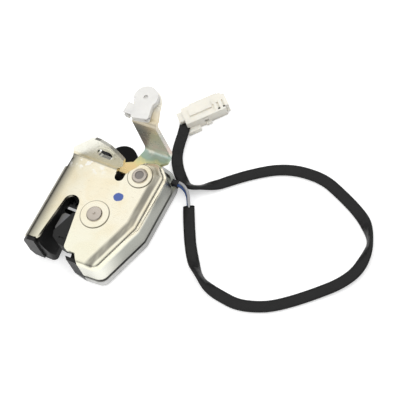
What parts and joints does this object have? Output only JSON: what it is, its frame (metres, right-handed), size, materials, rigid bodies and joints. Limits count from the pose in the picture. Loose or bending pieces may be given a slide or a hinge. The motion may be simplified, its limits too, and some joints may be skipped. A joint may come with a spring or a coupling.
{
  "type": "trunk lock",
  "caption": "Rotary trunk lid latch in a pressed steel case with a release lever, rod clip, lamp switch and a sleeved lead with a plug.",
  "frame": {"origin": "axis of the closed striker, in the plane of the back plate's outer face", "axes": "+Z out of the front plate, towards the lid's inside; -Y the way the striker leaves the slot; +X from the striker to the pins"},
  "size_m": [0.1864, 0.1372, 0.0625],
  "materials": {
    "yellow_zinc": "satin, pale yellow passivated zinc",
    "silver_zinc": "satin, clear passivated zinc",
    "lever_zinc": "satin, iridescent yellow passivated zinc",
    "pin_steel": "satin steel",
    "hardened_steel": "dark hardened steel",
    "spring_steel": "drawn spring wire",
    "black_moulding": "matt black",
    "charcoal_moulding": "fine grain, charcoal",
    "bush_plastic": "natural acetal",
    "white_nylon": "translucent white",
    "switch_black": "matt black",
    "contact_brass": "bare brass",
    "grommet_rubber": "matt rubber",
    "ivory_nylon": "ivory, satin",
    "tinned_contact": "tinned",
    "sleeve_black": "satin black",
    "wire_blue_skin": "satin blue",
    "wire_grey_skin": "satin light grey"
  },
  "bodies": {
    "case": {"front_plate": "yellow_zinc", "back_plate": "silver_zinc", "housing": "black_moulding", "claw_washer": "pin_steel", "claw_pin": "pin_steel", "pawl_pin": "pin_steel", "pawl_spring": "spring_steel", "pawl_washer": "pin_steel", "switch_case": "switch_black", "switch_contacts": "contact_brass", "wire_grommet": "grommet_rubber", "wire_grey": "wire_grey_skin", "wire_blue": "wire_blue_skin", "wire_sleeve": "sleeve_black", "connector_body": "ivory_nylon", "connector_retainer": "ivory_nylon", "connector_terminals": "tinned_contact"},
    "claw": {"claw_cover": "charcoal_moulding", "claw_core": "hardened_steel", "claw_bush": "bush_plastic", "claw_spring": "spring_steel"},
    "pawl": {"pawl_plate": "hardened_steel", "pawl_cover": "charcoal_moulding"},
    "lever": {"release_lever": "lever_zinc"},
    "clip": {"rod_clip": "white_nylon", "rod_clip_lock": "white_nylon"},
    "button": {"switch_button": "switch_black"}
  },
  "joints": [
    {"name": "claw_turn", "type": "hinge", "parent": "case", "child": "claw", "pos_m": [0.0171, -0.0016, 0], "axis": [0, 0, 1], "range_deg": [0, 48]},
    {"name": "lever_turn", "type": "hinge", "parent": "case", "child": "lever", "pos_m": [0.0304, 0.0298, 0], "axis": [0, 0, 1], "range_deg": [0, 18], "stiffness_Nm_per_rad": 0.25, "springref_deg": -11.46},
    {"name": "pawl_turn", "type": "hinge", "parent": "case", "child": "pawl", "pos_m": [0.0304, 0.0298, 0], "axis": [0, 0, 1], "range_deg": [0, 9]},
    {"name": "clip_swivel", "type": "hinge", "parent": "lever", "child": "clip", "pos_m": [0.027, 0.062, 0], "axis": [0, 0, 1], "range_deg": [-10, 0]},
    {"name": "button_slide", "type": "slide", "parent": "case", "child": "button", "axis": [0, -1, 0], "range_m": [0, 0.0015]}
  ],
  "couplings": [
    {"joint": "pawl_turn", "follows": "lever_turn", "ratio": 0.5},
    {"joint": "button_slide", "follows": "claw_turn", "m_per_rad": 0.00178}
  ]
}
